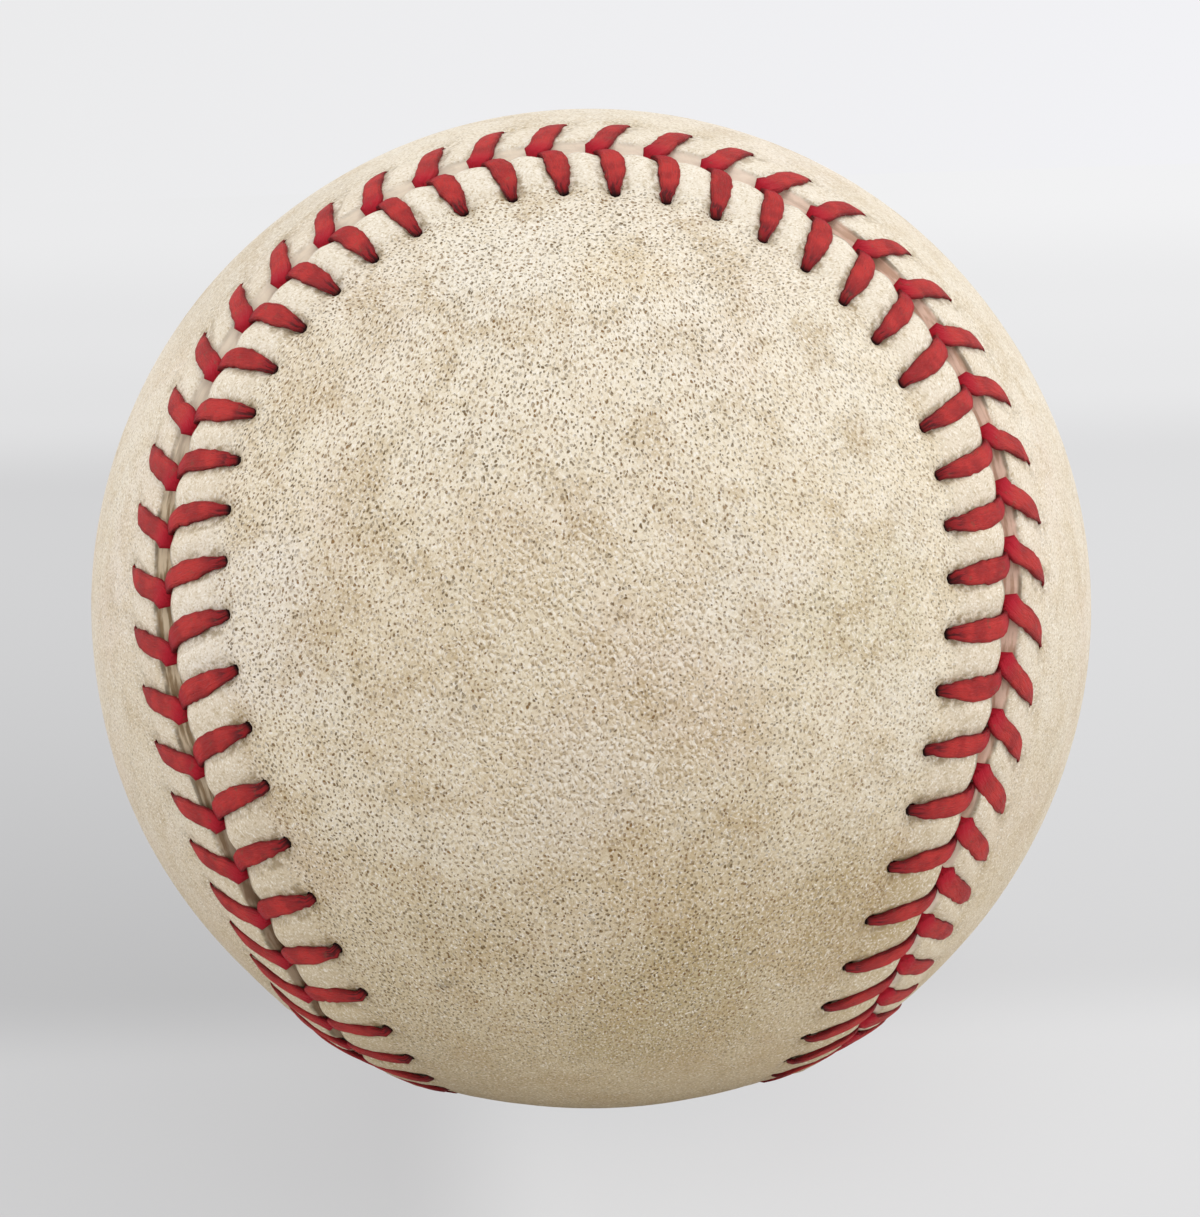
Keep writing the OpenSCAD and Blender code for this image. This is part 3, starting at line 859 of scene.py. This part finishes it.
    # The cut edge is darker low on the left. It is made paler high up, as painted light where it
    # lies in the seam's shade, and low on the right
    low_left = f.times(f.ramp(up, 0, -14), f.ramp(rightward, 5, -5, 0, 0.65))
    cut = f.mix(low_left, cut, (118, 88, 64))
    high = f.ramp(f.maths("SUBTRACT", up, f.times(rightward, 0.35)), 20, 30)
    low = f.ramp(f.maths("SUBTRACT", f.times(rightward, 0.5), up), 18, 27)
    pale_cut = f.maths("MAXIMUM", high, low)
    cut = f.mix(f.times(pale_cut, 0.8), cut, (242, 228, 208))
    colour = f.mix(f.ramp(edge, 0.28, 0.55), colour, cut)
    # A dark line along the top of the cut edge: dirt, with painted shade beside the tongues' lips
    line = f.times(f.ramp(edge, 0.12, 0.34), f.ramp(edge, 0.72, 0.45),
                   f.ramp(f.noise(1.6, 3, seed=4), 0.36, 0.58), f.ramp(pale_cut, 1, 0, 0.3, 1))
    colour = f.mix(f.times(line, 0.75), colour, (104, 86, 58))
    # Relief: pebbles, pores and soft folds
    relief = f.bump(f.times(pebble, f.ramp(rubbed, 0, 1, 0.15, 1)), -0.06)
    relief = f.bump(pore, -0.05, relief)
    relief = f.bump(f.noise(0.4, 4), 0.05, relief)
    relief = f.bump(blotches, 0.12, relief)
    roughness = f.ramp(f.noise(1.4, 3, seed=17), 0.3, 0.7, 0.46, 0.62)
    roughness = f.maths("SUBTRACT", roughness, f.times(rubbed, 0.14))
    return f.end(colour, roughness, relief, Specular_IOR_Level=0.42)


dress(leather[-1], worn_leather(
    "worn_cream_leather", creams=((241, 228, 204), (234, 219, 191)), low_dirt_shade_high_light=(0.85, 0.6),
    pore_share=1.0, tongue=1.0, dirt_and_shade=0.7, stains_and_sheen=STAINS_AND_SHEEN))
dress(leather[1], worn_leather(
    "cleaner_cream_leather", creams=((235, 223, 202), (229, 214, 189)), low_dirt_shade_high_light=(0.65, 0.4),
    pore_share=0.4, tongue=0.4, dirt_and_shade=0.5, stains_and_sheen=UPPER_STAINS))

# %% [markdown]
# ## Waxed thread
# The thread is twisted from a few plies, which show as fine lines where it narrows towards a
# hole. Handling has dulled and rubbed its flat middle, and dirt darkens the end at the hole.
# Painted shade darkens its sides, the lower legs where they dive into the seam, and the
# thread inside each hole.

# %% The thread finish
f = Finish("waxed_red_thread")
gone_mm, turn, leg_share = f.number("gone"), f.number("turn"), f.number("share")
tube = f.put("CombineXYZ", {0: gone_mm, 1: f.times(turn, 5.0), 2: 0.0}).outputs[0]
strands = f.noise(1.0, 2, at=f.vector("MULTIPLY", tube, (0.8, 3.2, 1)))
fibres = f.noise(1.0, 4, 0.65, at=f.vector("MULTIPLY", tube, (1.4, 14.0, 1)))
red = f.mix(f.ramp(f.noise(1.5, 4), 0.38, 0.64), (194, 44, 40), (162, 28, 28))
red = f.over(red, (216, 82, 80), fibres, 0.52, 0.72, 0.5)
red = f.over(red, (112, 20, 30), fibres, 0.46, 0.30, 0.55)
red = f.over(red, (184, 20, 42), leg_share, 0.78, 0.92, 0.5)
# Painted shade: the thread is darkened along its sides
rim = f.times(f.ramp(f.number("rim"), 0.80, 1.0), f.ramp(leg_share, 0.05, 0.3, 0.1, 0.6))
red = f.mix(rim, red, (104, 12, 24))
# Where the legs dive into the seam: cleaner red on the upper legs and a dark crimson of painted
# shade on the lower legs
lower_leg = f.ramp(f.number("legside"), 0.5, -0.5, 0.15, 1)
dive_tone_and_shade = f.mix(lower_leg, (196, 14, 46), (112, 4, 12))
red = f.mix(f.ramp(leg_share, 0.88, 1.04, 0, 0.85), red, dive_tone_and_shade)
# Near the hole on the lower legs dirt darkens the thread and the gaps between its plies go
# darker; inside the hole it is painted nearly black as the hole's shade
near_hole = f.times(lower_leg, f.ramp(leg_share, 0.32, 0.05))
red = f.mix(f.times(near_hole, 0.7), red, (146, 8, 24))
split = f.times(f.maths("POWER", near_hole, 1.6), f.ramp(strands, 0.50, 0.40), 0.8)
red = f.mix(split, red, (66, 3, 9))
in_hole = f.times(lower_leg, 0.95, f.ramp(leg_share, 0.045, -0.06))
red = f.mix(in_hole, red, (30, 8, 10))
mud = f.times(f.ramp(f.noise(0.8, 5, 0.7, seed=8), 0.58, 0.70), 0.5)
red = f.mix(mud, red, (112, 76, 56))
relief = f.bump(fibres, 0.10, f.bump(strands, 0.16))
dress(thread, f.end(red, f.ramp(fibres, 0.3, 0.7, 0.50, 0.70), relief,
                    Specular_IOR_Level=0.25))

# %% [markdown]
# ## The inside of the ball
# The inner nodes keep the frame's meshes. Each gets the finish of what it is made of: cork
# crumbs in rubber, moulded rubber, wound wool and fine yarn, and a brushed coat of cement.
# Wound yarn lies in great circles that cross at many angles, which a few straight sets of
# stripes, each masked by noise, imitate well on a ball.


# %% Cork, rubber and cement
def cork():
    f = Finish("cork_and_rubber_crumb")
    grain = f.cells(1.1)["Distance"]
    crumb = f.mix(f.ramp(f.noise(1.5, 4), 0.35, 0.65), (176, 128, 78), (128, 86, 48))
    border = f.cells(1.1, "DISTANCE_TO_EDGE")["Distance"]
    crumb = f.over(crumb, (66, 42, 28), border, 0.08, 0.0, 0.8)
    return f.end(crumb, f.ramp(grain, 0.2, 0.8, 0.7, 0.9), f.bump(grain, -0.12))


def rubber(name, dark, light):
    f = Finish(name)
    bloom = f.mix(f.ramp(f.noise(3, 5, 0.6), 0.4, 0.7), dark, light)
    dust = f.over(bloom, (150, 138, 128), f.noise(0.3, 2), 0.55, 0.7, 0.3)
    return f.end(dust, f.ramp(f.noise(2, 3), 0.3, 0.7, 0.45, 0.65), f.bump(f.noise(0.5, 4), 0.04))


def cement():
    f = Finish("brushed_cement")
    brushed = f.noise(0.8, 4, at=f.vector("MULTIPLY", f.mm, (0.35, 1.4, 0.9)))
    amber = f.mix(f.ramp(brushed, 0.35, 0.65), (196, 168, 132), (158, 130, 98))
    return f.end(amber, f.ramp(brushed, 0.3, 0.7, 0.3, 0.5), f.bump(brushed, 0.08))


# %% Wound wool and yarn
WINDINGS = ((0.2, 0.5, 0.9), (1.3, -0.4, 0.3), (-0.7, 1.1, 1.9), (0.6, 2.1, -0.8))
waves_per_mm = 0.314  # the wave texture's scale for one wave in a millimetre


def wound(name, dark, light, strand):
    """Crossing sets of strands, each strand about strand millimetres wide."""
    f = Finish(name)
    waves = []
    for turned in WINDINGS:
        at = f.put("Mapping", {"Vector": f.mm, "Rotation": turned}).outputs[0]
        waves.append(f.put("TexWave", {
            "Vector": at, "Scale": waves_per_mm / strand, "Distortion": 2.5, "Detail": 2.0,
            "Detail Scale": 0.4}).outputs["Fac"])
    lay = waves[0]
    for i, wave in enumerate(waves[1:], 1):
        patch = f.ramp(f.noise(9, 2, seed=13 * i), 0.46, 0.50)
        lay = f.put("Mix", {0: patch, 2: lay, 3: wave}, data_type="FLOAT").outputs[0]
    fuzz = f.noise(0.25, 3, 0.7)
    colour = f.mix(f.ramp(lay, 0.05, 0.6), dark, light)
    colour = f.over(colour, (236, 232, 222), fuzz, 0.5, 0.8, 0.35)
    normal = f.bump(fuzz, 0.06, f.bump(lay, 0.3 * strand))
    return f.end(colour, 0.85, normal, Sheen_Weight=0.3, Sheen_Roughness=0.6)


# %% Each inner node and its finish
red_rubber = rubber("moulded_red_rubber", (150, 36, 38), (184, 62, 58))
black_rubber = rubber("moulded_black_rubber", (26, 26, 28), (58, 56, 56))
yarn = wound("finishing_yarn", (186, 180, 164), (240, 237, 228), 0.35)
INNER = {
    "cork_core": cork(),
    "black_shell_lower": black_rubber, "black_shell_upper": black_rubber,
    "cushion_washer": red_rubber, "red_shell_lower": red_rubber, "red_shell_upper": red_rubber,
    "winding_1_grey_wool": wound("grey_four_ply_wool", (84, 84, 88), (150, 150, 152), 1.1),
    "winding_2_white_wool": wound("white_wool", (178, 172, 158), (236, 232, 220), 0.9),
    "winding_3_grey_wool": wound("grey_three_ply_wool", (92, 92, 94), (164, 163, 162), 0.9),
    "winding_4_finishing_yarn": yarn, "cement_coat": cement()}
for name, material in INNER.items():
    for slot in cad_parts[name].material_slots:
        slot.material = material
print(len(INNER), "inner nodes have their finishes")

# %% [markdown]
# ## Studio
# The ball stands on a pale floor under a wide soft sky. The floor's look in the camera is
# lighter and more even than what it gives to the ball, which Light Path allows, and it keeps
# a soft shadow. Its tones also hold a painted shadow, darker round the ball and to its left.
# The camera stands where the photograph was taken from, found by fitting the stitches: its
# distance is 4.56 radii, and the ball fills the same circle of the frame.

# %% Floor
floor_r = 6.0
camera_ahead = 166.0  # mm from the ball's middle to the camera, over the floor
least_depth, least_far = 140.0, 600.0  # mm from the camera
per_metre = 1000.0
# Painted shadow: the greys darken near the ball and to its left, where its soft shadow falls
FLOOR_TONES_AND_SHADOW = [  # from and to in 1/m before the camera, greys and where they turn, sideways
    (0.0, 0.1, 235, 242, -0.25, 0.25), (0.33, 0.95, 229, 235, -0.25, 0.25),
    (0.95, 1.50, 225, 232, -0.25, 0.25), (1.50, 2.00, 211, 222, -0.25, 0.25),
    (2.10, 5.40, 192, 215, -0.22, 0.20), (5.35, 5.95, 207, 225, -0.11, -0.02)]
bpy.ops.mesh.primitive_circle_add(vertices=96, radius=floor_r, fill_type="NGON",
                                  location=(0, 0, -ball_r))
floor = bpy.context.object
floor.name = "floor"
bpy.ops.object.transform_apply(location=True, rotation=False, scale=False)
f = Finish("pale_floor")
floor_xyz = f.put("SeparateXYZ", {0: f.mm}).outputs
depth = f.maths("SUBTRACT", camera_ahead, floor_xyz["X"])
depth = f.maths("MAXIMUM", depth, least_depth)
sideways = f.maths("DIVIDE", floor_xyz["Y"], depth)
nearness = f.maths("DIVIDE", per_metre, depth)
aside = f.maths("ABSOLUTE", floor_xyz["Y"])
aside = f.maths("DIVIDE", aside, f.maths("MAXIMUM", depth, least_far))
in_view = f.times(f.ramp(aside, 0.9, 0.3), f.ramp(floor_xyz["X"], 110, 17))
floor_tone_and_shadow = (237, 237, 239)
for start, stop, left, right, left_at, right_at in FLOOR_TONES_AND_SHADOW:
    here = f.mix(f.ramp(sideways, left_at, right_at), (left, left, left + 1),
                 (right, right, right + 1))
    floor_tone_and_shadow = f.mix(f.times(f.ramp(nearness, start, stop), in_view), floor_tone_and_shadow, here)
far = f.ramp(f.vector("LENGTH", f.mm), 150, 500)
white_part = f.put("Emission", {"Color": floor_tone_and_shadow, "Strength": 1.0})
lit_part = f.put("BsdfDiffuse", {"Color": floor_tone_and_shadow})
seen = f.put("LightPath").outputs["Is Camera Ray"]
keep = f.times(seen, f.ramp(far, 0.0, 1.0, 0.87, 1.0))
both = f.put("MixShader", {0: keep, 1: lit_part.outputs[0], 2: white_part.outputs[0]})
f.join(both.outputs[0], f.tree.nodes["Material Output"].inputs["Surface"])
floor.data.materials.append(f.material)

# %% World and lamps
sky_strength = 0.78
world = bpy.data.worlds.new("studio")
bpy.context.scene.world = world
world.use_nodes = True
w = Nodes(world.node_tree)
sky = w.tree.nodes["Background"]
w.join((1, 1, 1, 1), sky.inputs["Color"])
w.join(sky_strength, sky.inputs["Strength"])
# Painted light: the sky seen by the camera is a little lighter towards the right
toward = w.put("SeparateXYZ", {0: w.put("TexCoord").outputs["Generated"]}).outputs["Y"]
shade = w.put("MapRange", {"Value": toward, "From Min": -0.25, "From Max": 0.25}).outputs[0]
seen_sky = w.put("Background", {"Color": w.mix(shade, (235, 235, 236), (242, 242, 245))})
seen = w.put("LightPath").outputs["Is Camera Ray"]
both = w.put("MixShader", {0: seen, 1: sky.outputs[0], 2: seen_sky.outputs[0]})
w.join(both.outputs[0], w.tree.nodes["World Output"].inputs["Surface"])

LAMPS = {  # place, size and power of each soft lamp
    "key": ((0.14, 0.12, 0.60), 0.40, 1.3),
    "right_rim": ((-0.10, 0.60, 0.10), 0.45, 1.0),
    "left_rim": ((-0.10, -0.60, 0.10), 0.45, 0.9)}
for name, (where, size, power) in LAMPS.items():
    bpy.ops.object.light_add(type="AREA", location=where)
    lamp = bpy.context.object
    lamp.name = name
    lamp.data.size = size
    lamp.data.energy = power
    lamp.rotation_euler = (-Vector(where)).to_track_quat("-Z", "Y").to_euler()
print("lamps", list(LAMPS))

# %% Camera
azimuth, elevation, roll = (math.radians(a) for a in (90.45, 11.44, -2.00))
distance = 4.56 * ball_r
frame_w, frame_h = 1200, 1217
disc_r, disc_x, disc_y = 501.6, 590.9, 608.9  # the ball's circle in the photograph, in pixels
focal_px = disc_r / math.tan(math.asin(ball_r / distance))
back = Vector((math.sin(azimuth) * math.cos(elevation),
               -math.cos(azimuth) * math.cos(elevation), math.sin(elevation)))
right = Vector((0, 0, 1)).cross(back).normalized()
up = back.cross(right)
right, up = (right * math.cos(roll) + up * math.sin(roll),
             up * math.cos(roll) - right * math.sin(roll))
bpy.ops.object.camera_add()
camera = bpy.context.object
camera.matrix_world = Matrix.Translation(back * distance) @ Matrix(
    (right, up, back)).transposed().to_4x4()
camera.data.sensor_fit = "HORIZONTAL"
camera.data.lens = focal_px * camera.data.sensor_width / frame_w
camera.data.shift_x = (frame_w / 2 - disc_x) / frame_w
camera.data.shift_y = (disc_y - frame_h / 2) / frame_w
camera.data.clip_start, camera.data.clip_end = 0.01, 20
bpy.context.scene.camera = camera
bpy.context.scene.view_settings.view_transform = "Standard"
print("lens", round(camera.data.lens, 1), "mm")
